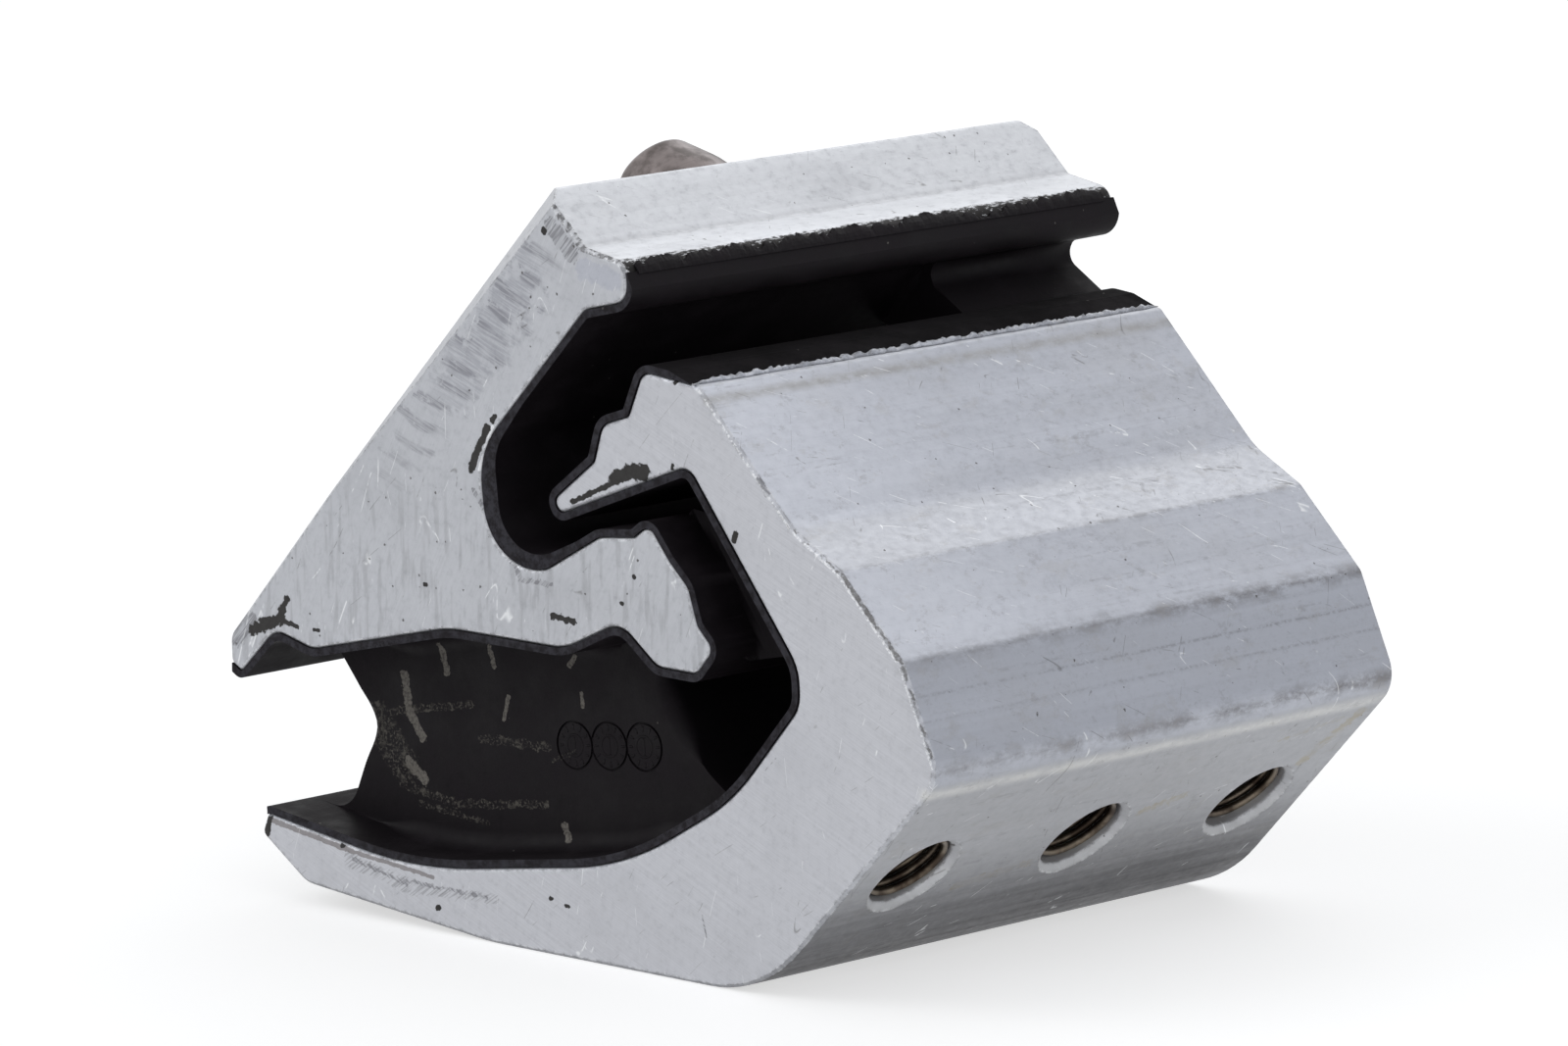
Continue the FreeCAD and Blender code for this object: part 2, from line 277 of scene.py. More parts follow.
def along_line(tree, place, line, reach):
    """1 on a line that runs the whole length at (x, z), fading out at the reach."""
    flat = measure(tree, "MULTIPLY", place, (1, 0, 1))[0]
    return fade(tree, measure(tree, "DISTANCE", flat, (line[0], 0, line[1]))[1], reach, 0)


def worn_edges(tree, radius):
    """Soft normal round every edge, and how near the edge is."""
    soft = put(tree, "Bevel", {"Radius": radius * MM}, samples=4).outputs[0]
    true = put(tree, "NewGeometry", {}).outputs["Normal"]
    return soft, fade(tree, measure(tree, "DOT_PRODUCT", soft, true)[1], 0.995, 0.85)


def relief(tree, normal, *layers):
    """Bump from layers of (height, depth in millimetres), laid on a normal."""
    total = 0.0
    for height, depth in layers:
        total = reckon(tree, "MULTIPLY_ADD", height, depth, total)
    return put(tree, "Bump",
               {"Height": total, "Distance": MM, "Normal": normal}).outputs[0]


def paint(piece, material):
    """Gives the whole piece one material."""
    piece.data.materials.clear()
    piece.data.materials.append(material)


# ------------------------------------------------------------ aluminium

def end_mask(tree, normal):
    """1 on the sawn ends, 0 on the extruded sides."""
    return fade(tree, reckon(tree, "ABSOLUTE", split(tree, normal)[1]), 0.6, 0.8)


def flash_dirt(tree, place, line, reach, sizes):
    """Feathery dirt that reaches out from a line along the length."""
    near = along_line(tree, place, line, reach)
    feather = grain(tree, place, sizes, detail=4.0, rough=0.7)
    return fade(tree, times(tree, near, feather), 0.28, 0.42)


# Colours of the metal's wear and dirt, and of the light and shade painted on it.
POLISHED_EDGE = (0.80, 0.81, 0.83, 1)
GRIMY_EDGE = (0.10, 0.093, 0.088, 1)
BRIGHT_SCRATCH = (0.86, 0.87, 0.88, 1)
DARK_SCRATCH = (0.15, 0.145, 0.14, 1)
GREY_SMUDGE = (0.19, 0.19, 0.205, 1)
GLEAM = (0.86, 0.87, 0.89, 1)
BROWN_DOT = (0.06, 0.05, 0.045, 1)
RUBBER_RESIDUE = (0.014, 0.012, 0.011, 1)
FRESH_CUT_AND_HIGHLIGHT = (0.66, 0.66, 0.655, 1)
UPWARD_FLANK_PAINTED_LIGHT = (0.52, 0.53, 0.56, 1)
FLANK_PAINTED_SHEEN = (0.68, 0.70, 0.76, 1)
BOLT_FACE_PAINTED_SHADE = (0.42, 0.423, 0.432, 1)
WORN_CREASE = (0.21, 0.205, 0.215, 1)
CORNER_PAINTED_HIGHLIGHT = (0.70, 0.70, 0.69, 1)
GREY_BLOT = (0.27, 0.265, 0.275, 1)
BROWN_FILM = (0.33, 0.30, 0.25, 1)
DIE_STREAK = (0.25, 0.25, 0.27, 1)
OLD_OIL = (0.40, 0.355, 0.255, 1)
HEEL_PAINTED_SHADE = (0.055, 0.054, 0.058, 1)
HOOK_BAND = (0.30, 0.285, 0.26, 1)
RIM_GRIME = (0.13, 0.125, 0.12, 1)
SAWN_EDGE_HIGHLIGHT = (0.82, 0.83, 0.85, 1)
TOE_HATCHING = (0.24, 0.24, 0.255, 1)
BROWN_LINE = (0.11, 0.085, 0.075, 1)
BLUE_WASH = (0.27, 0.275, 0.31, 1)
BLUE_STROKE = (0.20, 0.20, 0.225, 1)
FAINT_BAND = (0.24, 0.24, 0.25, 1)
NIB_BLACK = (0.022, 0.02, 0.02, 1)
NIB_GRIME = (0.09, 0.088, 0.09, 1)
NIB_TINT = (0.36, 0.38, 0.47, 1)
NIB_CREASE = (0.36, 0.36, 0.375, 1)


def aluminium(name, side_tone, end_tone, saw, black, grey, bright, extra_dirt_and_light):
    """Bare extruded aluminium with sawn ends, handling marks and rubber residue.

    saw is the slope of the saw's lines and how much they vary the tone; black, grey and
    bright are tables of smears; the last argument gives further masks with their colours,
    of dirt and of painted light and shade.
    """
    material, tree, skin = shader(name)
    place, normal = millimetres(tree)
    ends = end_mask(tree, normal)
    soft, edge = worn_edges(tree, 0.7)
    saw_slope, saw_depth = saw

    die_lines = grain(tree, place, (0.9, 260, 0.9), detail=2.0, rough=0.6)
    die_bands = grain(tree, place, (6, 150, 6), detail=1.0)
    saw_lines = grain(tree, place, (30, 1, 0.22), saw_slope, detail=2.0, rough=0.7)
    cloud = grain(tree, place, (14, 24, 14), detail=4.0, rough=0.6)
    mottle = grain(tree, place, (1.5, 2.2, 1.5), detail=4.0, rough=0.75)

    def tone(base, share):
        return tuple(share * part for part in base) + (1,)

    side = lay(tree, fade(tree, die_bands, 0.3, 0.7), tone(side_tone, 0.95),
               tone(side_tone, 1.04))
    side = lay(tree, fade(tree, die_lines, 0.35, 0.7, 0, 0.25), side,
               tone(side_tone, 0.84))
    end = lay(tree, fade(tree, saw_lines, 0.3, 0.7), tone(end_tone, 1 - saw_depth),
              tone(end_tone, 1 + saw_depth))
    rubbed = times(tree, edge, fade(tree, mottle, 0.5, 0.42))
    grime = times(tree, edge, fade(tree, mottle, 0.48, 0.58))
    shine = most(tree, hairlines(tree, place, (20, 30, 65), 0.006, 0.56),
                 hairlines(tree, place, (-50, 80, 20), 0.005, 0.58))
    scrape = most(tree, hairlines(tree, place, (60, -35, 10), 0.006, 0.56),
                  hairlines(tree, place, (-15, 10, -40), 0.006, 0.58))
    dots = most(tree, specks(tree, place, 1.9, 0.24, 0.3),
                specks(tree, place, 6.5, 0.55, 0.2))
    residue = smears(tree, place, black)
    strokes = grain(tree, place, (5, 3, 0.35), saw_slope + 14, detail=2.0)
    smudge = times(tree, smears(tree, place, grey),
                   fade(tree, strokes, 0.4, 0.58, 0.15, 0.75))

    colour = lay(tree, ends, side, end)
    for mask, tint in (
            (fade(tree, cloud, 0.45, 0.75, 0, 0.4), tone(end_tone, 0.82)),
            (fade(tree, mottle, 0.5, 0.78, 0, 0.34), tone(end_tone, 0.68)),
            *extra_dirt_and_light(tree, place, normal, ends),
            (times(tree, rubbed, 0.8), POLISHED_EDGE),
            (times(tree, grime, 0.75), GRIMY_EDGE),
            (times(tree, shine, 0.7), BRIGHT_SCRATCH),
            (times(tree, scrape, 0.55), DARK_SCRATCH),
            (smudge, GREY_SMUDGE),
            (times(tree, smears(tree, place, bright), 0.75), GLEAM),
            (times(tree, dots, 0.8), BROWN_DOT),
            (residue, RUBBER_RESIDUE)):
        colour = lay(tree, mask, colour, tint)
    tree.links.new(colour, skin.inputs["Base Color"])

    metal = times(tree, reckon(tree, "SUBTRACT", 1.0, most(tree, residue, dots)), 0.86)
    tree.links.new(metal, skin.inputs["Metallic"])
    rough = fade(tree, mottle, 0.3, 0.7, 0.45, 0.58)
    rough = reckon(tree, "MULTIPLY_ADD", residue, 0.15, rough)
    rough = reckon(tree, "MULTIPLY_ADD", rubbed, -0.12, rough)
    tree.links.new(rough, skin.inputs["Roughness"])
    lines = lay(tree, ends, die_lines, saw_lines)
    tree.links.new(relief(tree, soft, (lines, 0.018), (mottle, 0.03), (cloud, 0.12)),
                   skin.inputs["Normal"])
    return material


def bright_countersinks(tree, place, row, pitch):
    """Ring of freshly cut metal round each hole of a row, with a painted highlight that
    makes it brightest below.
    """
    parts = split(tree, place)
    step = reckon(tree, "WRAP", parts[1], pitch / 2, -pitch / 2)
    near = put(tree, "CombineXYZ", {0: parts[0], 1: step, 2: parts[2]}).outputs[0]
    gap = measure(tree, "DISTANCE", near, row)[1]
    ring = times(tree, fade(tree, gap, 8.9, 8.5), fade(tree, gap, 7.3, 7.7))
    offset = measure(tree, "SUBTRACT", near, row)[0]
    return times(tree, ring, fade(tree, split(tree, offset)[2], 3.0, -2.0, 0.25, 1.0))


def lower_dirt_and_painted_light(tree, place, normal, ends):
    """Handling dirt of the lower profile's flank, bolt face, heel and sawn end, with
    painted shade on the bolt face and heel, a painted tone, sheen and highlights on the
    flank and sawn edge, and painted highlights in the countersinks.
    """
    ragged = grain(tree, place, (5, 9, 5), detail=5.0, rough=0.75)
    fine = grain(tree, place, (1.2, 3.2, 1.2), detail=4.0, rough=0.7)
    speckle = grain(tree, place, (0.6, 0.9, 0.6), detail=2.0, rough=0.6)
    streaks = grain(tree, place, (2.0, 70, 2.0), detail=3.0, rough=0.6)
    blots = grain(tree, place, (2.6, 4.0, 2.6), detail=5.0, rough=0.8)
    hatch = grain(tree, place, (7, 1, 0.32), -35, detail=1.0)
    sides = reckon(tree, "SUBTRACT", 1.0, ends)
    along, height = split(tree, place)[1:]
    facing = split(tree, normal)[2]
    layers = []

    def stain(colour, *masks):
        layers.append((times(tree, *masks), colour))

    # painted light: the upward-facing flank gets its own tone, set for how the lamps light
    # it
    upward_face = times(tree, fade(tree, facing, 0.74, 0.84), sides)
    stain(UPWARD_FLANK_PAINTED_LIGHT, upward_face, 0.6)
    # painted sheen: flanks facing up at this slope are lighter towards the near end
    stain(FLANK_PAINTED_SHEEN, fade(tree, along, 0, -52),
          reckon(tree, "SUBTRACT", sides, upward_face),
          fade(tree, facing, 0.5, 0.65), 0.42)
    # painted shade: the downward-facing bolt face is darkened
    stain(BOLT_FACE_PAINTED_SHADE, fade(tree, facing, -0.3, -0.6), sides, 0.65)
    handled = fade(tree, along, -45, 35, 0.55, 1.0)
    for crease, reach, strength, spots in (
            (FLANK_CREASES[0], 0.9, 0.5, fine), (FLANK_CREASES[1], 2.6, 0.62, ragged),
            (FLANK_CREASES[1], 0.8, 0.5, fine), (FLANK_WEAR, 2.6, 0.75, ragged),
            (FLANK_WEAR, 1.0, 0.5, fine),
            ((68.7, 51.0), 0.45, 0.5, speckle), ((70.4, 47.4), 0.4, 0.35, speckle)):
        stain(WORN_CREASE, along_line(tree, place, crease, reach),
              fade(tree, spots, 0.4, 0.6), handled, strength)
    # painted highlight: a light band along the rounded corner of the flank
    stain(CORNER_PAINTED_HIGHLIGHT, along_line(tree, place, FLANK_HIGHLIGHT_LINE, 2.0),
          fade(tree, ragged, 0.3, 0.6, 0.35, 0.85))
    stain(GREY_BLOT, fade(tree, blots, 0.57, 0.66), sides, 0.28)
    stain(BROWN_FILM, fade(tree, ragged, 0.56, 0.64), sides, 0.13)
    stain(DIE_STREAK, fade(tree, streaks, 0.58, 0.68), fade(tree, fine, 0.45, 0.6),
          sides, 0.3)
    stain(OLD_OIL, smears(tree, place, OIL_STAINS),
          fade(tree, ragged, 0.42, 0.58, 0.2, 1.0), 0.6)
    # painted shade: the sides darken towards the bottom of the heel
    stain(HEEL_PAINTED_SHADE, fade(tree, height, 25, 5), sides,
          fade(tree, streaks, 0.3, 0.65, 0.95, 0.75))
    below_hook = (HOOK_EDGE[0] + 2.0, HOOK_EDGE[1] - 2.0)
    stain(HOOK_BAND, along_line(tree, place, below_hook, 1.6),
          fade(tree, fine, 0.3, 0.6, 0.2, 0.5))
    stain(RIM_GRIME, smears(tree, place, FLANK_RIM),
          fade(tree, fine, 0.3, 0.55, 0.25, 0.8))
    # painted highlight: a thin light line along the sawn edge of the flank
    stain(SAWN_EDGE_HIGHLIGHT, smears(tree, place, FLANK_LIP), fade(tree, speckle, 0.45, 0.55), 0.8)
    stain(TOE_HATCHING, fade(tree, hatch, 0.47, 0.6), smears(tree, place, TOE_HATCH), 0.5)
    stain(BROWN_LINE, smears(tree, place, TOE_LINE), 0.6)
    # fresh-cut rings round the bracket holes, with a painted highlight below
    stain(FRESH_CUT_AND_HIGHLIGHT, bright_countersinks(tree, place, BRACKET_ROW, HOLE_PITCH), 0.5)
    return layers


def upper_dirt_and_highlight(tree, place, normal, ends):
    """Strokes along the back edge, and feathery black along the nib; the countersinks carry
    a painted highlight below.
    """
    strip = turned(tree, place, origin=APEX, slope=180 - BACK_SLOPE)
    down, _, inward = split(tree, strip)
    height = split(tree, place)[2]
    blot = grain(tree, place, (3.6, 3, 3.6), detail=4.0, rough=0.65)
    patch = grain(tree, place, (7, 7, 7), detail=2.0)
    hatch = grain(tree, strip, (0.3, 3, 5), slope=-21, detail=2.0)
    bands = grain(tree, place, (1.2, 8, 9), detail=2.0)
    rim_grain = grain(tree, place, (0.9, 0.9, 0.9), detail=3.0)
    wave = put(tree, "TexWave", {"Vector": turned(tree, strip, slope=-21), "Scale": 0.078,
                                 "Distortion": 4.6, "Detail": 2.0, "Detail Scale": 0.8},
               bands_direction="X").outputs[1]
    start = reckon(tree, "ADD", inward, fade(tree, blot, 0.3, 0.7, -3.2, 3.2))
    sides = reckon(tree, "SUBTRACT", 1.0, ends)
    layers = []

    def stain(colour, *masks):
        layers.append((times(tree, *masks), colour))

    stain(BLUE_WASH, fade(tree, start, 2.0, 5.0), fade(tree, start, 13, 9),
          fade(tree, hatch, 0.36, 0.58, 0.2, 1.0),
          fade(tree, down, 6, 12), fade(tree, down, 52, 30), ends, 0.5)
    stain(BLUE_STROKE, fade(tree, wave, 0.5, 0.85),
          fade(tree, start, 3.0, 4.6), fade(tree, start, 13, 8),
          fade(tree, patch, 0.36, 0.52, 0.15, 1.0),
          fade(tree, down, 5, 8), fade(tree, down, 70, 44),
          fade(tree, hatch, 0.35, 0.6, 0.35, 1.0), ends, 0.6)
    stain(FAINT_BAND, fade(tree, bands, 0.5, 0.66), fade(tree, height, 80, 62),
          ends, 0.28)
    stain(NIB_BLACK, flash_dirt(tree, place, (10.6, 111.4), 4.2, (0.5, 1.6, 0.5)), sides)
    stain(NIB_GRIME, smears(tree, place, NIB_RIM), fade(tree, rim_grain, 0.45, 0.6), 0.8)
    stain(NIB_TINT, smears(tree, place, NIB_BLUE), 0.3)
    stain(NIB_CREASE, along_line(tree, place, NIB_CORNERS[0], 1.3), 0.35)
    # fresh-cut rings round the engine holes, with a painted highlight below
    stain(FRESH_CUT_AND_HIGHLIGHT, bright_countersinks(tree, place, ENGINE_ROW, HOLE_PITCH), 0.5)
    return layers


# Smears: where they start and end, how far they reach, and how ragged they are.
NIB_RIM = in_section(-UPPER_CUT, [
    (-6.6, 121.6, -3.0, 118.6, 0.5, 0.9), (-3.0, 118.6, 1.9, 113.9, 0.9, 1.2),
    (1.9, 113.9, 9.0, 112.6, 0.7, 1.0)])
NIB_BLUE = in_section(-UPPER_CUT, [(2.0, 110.5, 8.5, 109.5, 1.8, 2.5)])
FLANK_RIM = in_section(-LOWER_CUT, [
    (24.9, 94.0, 44.3, 74.4, 0.35, 0.6), (44.0, 74.2, 53.7, 68.7, 0.45, 0.8),
    (53.7, 68.7, 66.4, 56.2, 0.5, 0.9), (66.4, 56.2, 73.4, 40.5, 0.4, 0.8),
    (73.4, 37.5, 60.0, 24.0, 0.25, 0.6)])
FLANK_LIP = in_section(-LOWER_CUT, [
    (24.2, 93.6, 43.2, 74.2, 0.26, 0.4), (43.5, 73.8, 53.0, 68.3, 0.22, 0.4),
    (53.0, 68.3, 65.8, 55.8, 0.25, 0.5), (65.8, 55.8, 72.9, 40.2, 0.22, 0.4)])
TOE_LINE = in_section(-LOWER_CUT, [
    (-70.5, 13.0, -52.0, 10.4, 0.5, 0.8), (-52.0, 10.4, -34.0, 8.8, 0.4, 0.7)])
TOE_HATCH = in_section(-LOWER_CUT, [
    (-53.0, 8.9, -38.0, 6.4, 1.4, 1.6), (-38.0, 6.4, -20.0, 7.2, 0.9, 1.4)])
OIL_STAINS = [((51.5, -26, 15.0), (53.5, -10, 16.2), 1.2, 3.4),
              ((58.5, 10, 22.5), (60.0, 19, 24.0), 1.0, 3.8),
              ((62.0, 46, 26.0), (69.5, 51, 34.0), 1.5, 4.4),
              ((67.5, 34, 31.5), (69.0, 47, 33.5), 0.6, 2.6)]
HOOK_RESIDUE = in_section(-LOWER_CUT, [
    (9.5, 79.2, 12.6, 79.4, 1.5, 2.2), (6.0, 77.6, 9.5, 79.0, 1.2, 1.8),
    (-3.0, 73.0, 6.5, 77.3, 0.5, 1.2), (31.7, 71.0, 32.0, 72.2, 0.6, 1.0),
    (18.6, 80.6, 18.7, 81.2, 0.4, 0.8), (19.2, 94.4, 20.0, 94.8, 0.6, 1.2),
    (-72.0, 10.0, -71.0, 13.2, 0.7, 1.4), (-33.0, 4.0, -32.6, 4.0, 0.5, 0.8),
    (-4.5, 8.3, -4.0, 8.3, 0.4, 0.8), (-8.0, 9.0, -7.7, 9.0, 0.4, 0.8),
    (-54.5, 11.0, -54.0, 11.0, 0.4, 0.8)])
HOOK_SMUDGES = in_section(-LOWER_CUT, [
    (24.8, 11.0, 25.7, 7.8, 0.18, 0.2), (36.5, 82.0, 38.5, 79.0, 0.6, 1.5),
    (-52.0, 9.3, -40.0, 6.8, 0.35, 1.4), (-42.0, 7.4, -22.0, 7.2, 0.3, 1.6)])
FLANK_SCRATCHES = [
    ((47, -38, 72), (42, -34, 77), 0.16, 1.0), ((44, -30, 75), (40, -31, 79), 0.16, 1.2),
    ((49, -22, 71), (44, -26, 75), 0.14, 1.0), ((50, -14, 71), (45, -12, 74), 0.14, 1.2),
    ((46, 5, 73), (41, 8, 78), 0.14, 0.8), ((38, 20, 81), (34, 22, 85), 0.14, 0.9),
    ((49, -16, 71.5), (47, -15, 73), 0.3, 0.8),
    ((50, -12, 71), (48.5, -10, 72), 0.3, 0.7),
    ((50.5, -34, 70.8), (48.5, -33, 72.5), 0.26, 0.8),
    ((51, 22, 70.6), (47, 24, 73.4), 0.16, 0.7),
    ((50, 27, 71), (46.5, 25, 74), 0.16, 0.7), ((48, 34, 73), (44.5, 37, 76), 0.14, 0.7)]
TIP_RESIDUE = in_section(-UPPER_CUT, [
    (-72.0, 44.5, -65.5, 47.2, 1.1, 2.0), (-66.0, 47.0, -64.2, 50.3, 0.8, 1.8),
    (-64.5, 46.7, -61.8, 46.3, 0.5, 1.2), (-58.0, 46.3, -56.8, 46.2, 0.4, 1.0),
    (-22.6, 76.2, -21.2, 79.2, 0.8, 1.2), (-21.2, 79.2, -19.0, 83.2, 0.8, 1.2),
    (-17.8, 84.6, -17.2, 85.2, 0.6, 1.0), (-4.8, 55.0, -0.3, 54.6, 0.6, 1.8),
    (-6.6, 115.8, -6.3, 115.6, 0.6, 0.8), (-33.0, 56.6, -32.6, 56.6, 0.4, 0.6),
    (10.0, 58.8, 10.2, 58.8, 0.4, 0.6), (12.6, 63.3, 12.8, 63.3, 0.4, 0.6)])
TIP_SMUDGES = in_section(-UPPER_CUT, [
    (-4.8, 116.5, -0.5, 112.8, 1.7, 2.2), (-76.0, 43.0, -72.5, 45.5, 2.0, 2.0),
    (7.5, 118.5, 2.0, 113.5, 0.4, 1.0), (-22.0, 73.0, -12.0, 60.5, 0.5, 1.4),
    (-12.0, 60.0, -5.0, 60.0, 0.5, 1.6)])
FLAKE_GLEAMS = in_section(-UPPER_CUT, [(-20.8, 76.5, -17.8, 83.6, 0.35, 0.7)])

paint(nodes["lower_profile"], aluminium(
    "lower_aluminium", side_tone=(0.505, 0.522, 0.575), end_tone=(0.545, 0.552, 0.585),
    saw=(22, 0.05), black=HOOK_RESIDUE, grey=HOOK_SMUDGES, bright=FLANK_SCRATCHES,
    extra_dirt_and_light=lower_dirt_and_painted_light))
paint(nodes["upper_profile"], aluminium(
    "upper_aluminium", side_tone=(0.66, 0.672, 0.70), end_tone=(0.505, 0.515, 0.545),
    saw=(-62, 0.025), black=TIP_RESIDUE, grey=TIP_SMUDGES, bright=FLAKE_GLEAMS,
    extra_dirt_and_light=upper_dirt_and_highlight))


# ------------------------------------------------------------ rubber

SCUFFS = in_section(-BLOCK_WALL, [
    (-41.7, 45.0, -40.5, 40.0, 0.8, 1.6), (-50.0, 38.0, -48.8, 32.0, 1.0, 1.8),
    (-48.8, 32.0, -46.0, 28.5, 0.9, 1.6), (-49.0, 24.0, -45.5, 21.5, 1.0, 2.0),
    (-31.0, 45.0, -30.0, 42.2, 0.6, 1.2), (-26.8, 37.5, -27.8, 33.8, 0.5, 1.0),
    (-12.0, 46.0, -13.3, 44.3, 0.5, 0.9), (-14.4, 18.3, -13.1, 16.0, 0.8, 1.2),
    (-10.6, 40.0, -10.4, 38.2, 0.5, 0.8)])
RUBS = in_section(-BLOCK_WALL, [
    (-58.0, 30.5, -47.0, 33.0, 0.8, 1.6), (-47.0, 33.0, -35.0, 35.2, 0.7, 1.6),
    (-50.5, 20.2, -38.5, 18.6, 0.8, 1.4), (-38.5, 18.6, -18.5, 21.2, 0.8, 1.4),
    (-46.5, 17.5, -31.5, 16.5, 0.6, 1.2), (-56.0, 30.0, -50.0, 23.0, 3.4, 3.0),
    (-33.0, 30.0, -18.0, 30.5, 0.9, 2.0), (-17.0, 28.5, -12.0, 30.5, 0.4, 1.5)])

# Colours of the rubber and of what lies on it, and the shade painted on its top faces.
RUBBER_SKIN = (0.008, 0.0062, 0.0078, 1)
RUBBER_DUST = (0.021, 0.0165, 0.0205, 1)
RUBBER_GRAIN = (0.0095, 0.0074, 0.0092, 1)
FLOW_MARK = (0.004, 0.0038, 0.0042, 1)
TRIMMED_RUBBER = (0.046, 0.044, 0.053, 1)
TOP_PAINTED_SHADE = (0.003, 0.0026, 0.003, 1)
PALE_SCUFF = (0.25, 0.23, 0.205, 1)
PALE_RUB = (0.15, 0.138, 0.12, 1)
GRIT = (0.2, 0.19, 0.175, 1)


def date_clock_marks(tree, place):
    """Blank date clocks: twelve short ticks, a hub and a bar inside each moulded ring."""
    row = turned(tree, place, origin=(CLOCK_MIDDLE[0], 0, CLOCK_MIDDLE[1]),
                 slope=-CLOCK_SLOPE)
    across, along, up = split(tree, row)
    step = reckon(tree, "WRAP", across, CLOCK_PITCH / 2, -CLOCK_PITCH / 2)
    within = fade(tree, reckon(tree, "ABSOLUTE", across), 11.9, 11.7)
    gap = reckon(tree, "SQRT",
                 reckon(tree, "MULTIPLY_ADD", step, step, times(tree, up, up)))
    angle = reckon(tree, "ARCTAN2", up, step)
    spoke = reckon(tree, "ABSOLUTE", reckon(tree, "SINE", times(tree, angle, 6.0)))
    tick = times(tree, fade(tree, spoke, 0.42, 0.25), fade(tree, gap, 2.4, 2.6),
                 fade(tree, gap, 3.4, 3.2))
    off_hub = reckon(tree, "ABSOLUTE", reckon(tree, "SUBTRACT", gap, 1.7))
    hub = fade(tree, off_hub, 0.22, 0.12)
    bar = times(tree, fade(tree, reckon(tree, "ABSOLUTE", step), 0.25, 0.15),
                fade(tree, gap, 1.4, 1.2))
    near_end = fade(tree, along, -40, -44)
    return times(tree, most(tree, tick, hub, bar), within, near_end)


def rubber():
    """Black moulded rubber: dusty, scuffed, greyer where its ends were trimmed, and with
    painted shade on its top faces.
    """
    material, tree, skin = shader("moulded_rubber")
    place, normal = millimetres(tree)
    dust = grain(tree, place, (9, 12, 9), detail=5.0, rough=0.7)
    skin_grain = grain(tree, place, (0.5, 0.5, 0.5), detail=3.0, rough=0.6)
    trim_grain = grain(tree, place, (1.6, 1.6, 1.6), detail=4.0, rough=0.7)
    flow = grain(tree, place, (3, 40, 3), detail=2.0)
    along, height = split(tree, place)[1:]
    trimmed = times(tree, end_mask(tree, normal),
                    fade(tree, reckon(tree, "ABSOLUTE", along), 54.0, 54.6))
    top = times(tree, fade(tree, split(tree, normal)[2], 0.8, 0.95),
                fade(tree, height, 90, 94))
    scuff = times(tree, smears(tree, place, SCUFFS),
                  fade(tree, skin_grain, 0.35, 0.6, 0.45, 1.0))
    rub = times(tree, smears(tree, place, RUBS),
                fade(tree, most(tree, skin_grain, trim_grain), 0.5, 0.66))

    colour = lay(tree, fade(tree, dust, 0.45, 0.75), RUBBER_SKIN, RUBBER_DUST)
    colour = lay(tree, fade(tree, flow, 0.55, 0.7, 0, 0.5), colour, FLOW_MARK)
    colour = lay(tree, fade(tree, skin_grain, 0.3, 0.75, 0.35, 0.75), RUBBER_GRAIN,
                 colour)
    for mask, tint in (
            (times(tree, trimmed, fade(tree, trim_grain, 0.35, 0.65, 0.1, 1)),
             TRIMMED_RUBBER),
            # painted shade: the top faces are darkened
            (times(tree, top, fade(tree, dust, 0.35, 0.65, 0.3, 0.9)), TOP_PAINTED_SHADE),
            (times(tree, scuff, 0.85), PALE_SCUFF),
            (times(tree, rub, 0.7), PALE_RUB),
            (times(tree, specks(tree, place, 3.0, 0.3, 0.22), 0.6), GRIT)):
        colour = lay(tree, mask, colour, tint)
    tree.links.new(colour, skin.inputs["Base Color"])
    skin.inputs["Specular IOR Level"].default_value = 0.12
    rough = reckon(tree, "MULTIPLY_ADD", top, 0.3, fade(tree, dust, 0.3, 0.7, 0.5, 0.7))
    tree.links.new(rough, skin.inputs["Roughness"])
    true = put(tree, "NewGeometry", {}).outputs["Normal"]
    tree.links.new(relief(tree, true, (skin_grain, 0.03), (flow, 0.08),
                          (date_clock_marks(tree, place), 0.25)), skin.inputs["Normal"])
    return material


def show_alone(piece):
    """Makes one piece the only selected and active one."""
    bpy.ops.object.select_all(action="DESELECT")
    piece.select_set(True)
    bpy.context.view_layer.objects.active = piece


def open_piece(piece):
    """Shows one piece alone in edit mode, with everything on it selected."""
    show_alone(piece)
    bpy.ops.object.mode_set(mode="EDIT")
    bpy.ops.mesh.select_all(action="SELECT")


def close_piece(piece):
    """Back to object mode, with the piece no longer selected."""
    bpy.ops.object.mode_set(mode="OBJECT")
    piece.select_set(False)


def smooth(piece, angle):
    """Smooth shading, except over edges sharper than the angle."""
    show_alone(piece)
    bpy.ops.object.shade_smooth_by_angle(angle=math.radians(angle))


def merged_copy(node, name):
    """A copy of a CAD node with its own mesh, its loose triangles joined."""
    piece = bpy.data.objects.new(name, nodes[node].data.copy())
    bpy.context.collection.objects.link(piece)
    open_piece(piece)
    bpy.ops.mesh.remove_doubles(threshold=SEAM)
    bpy.ops.mesh.dissolve_limited(angle_limit=math.radians(0.5))
    close_piece(piece)
    return piece


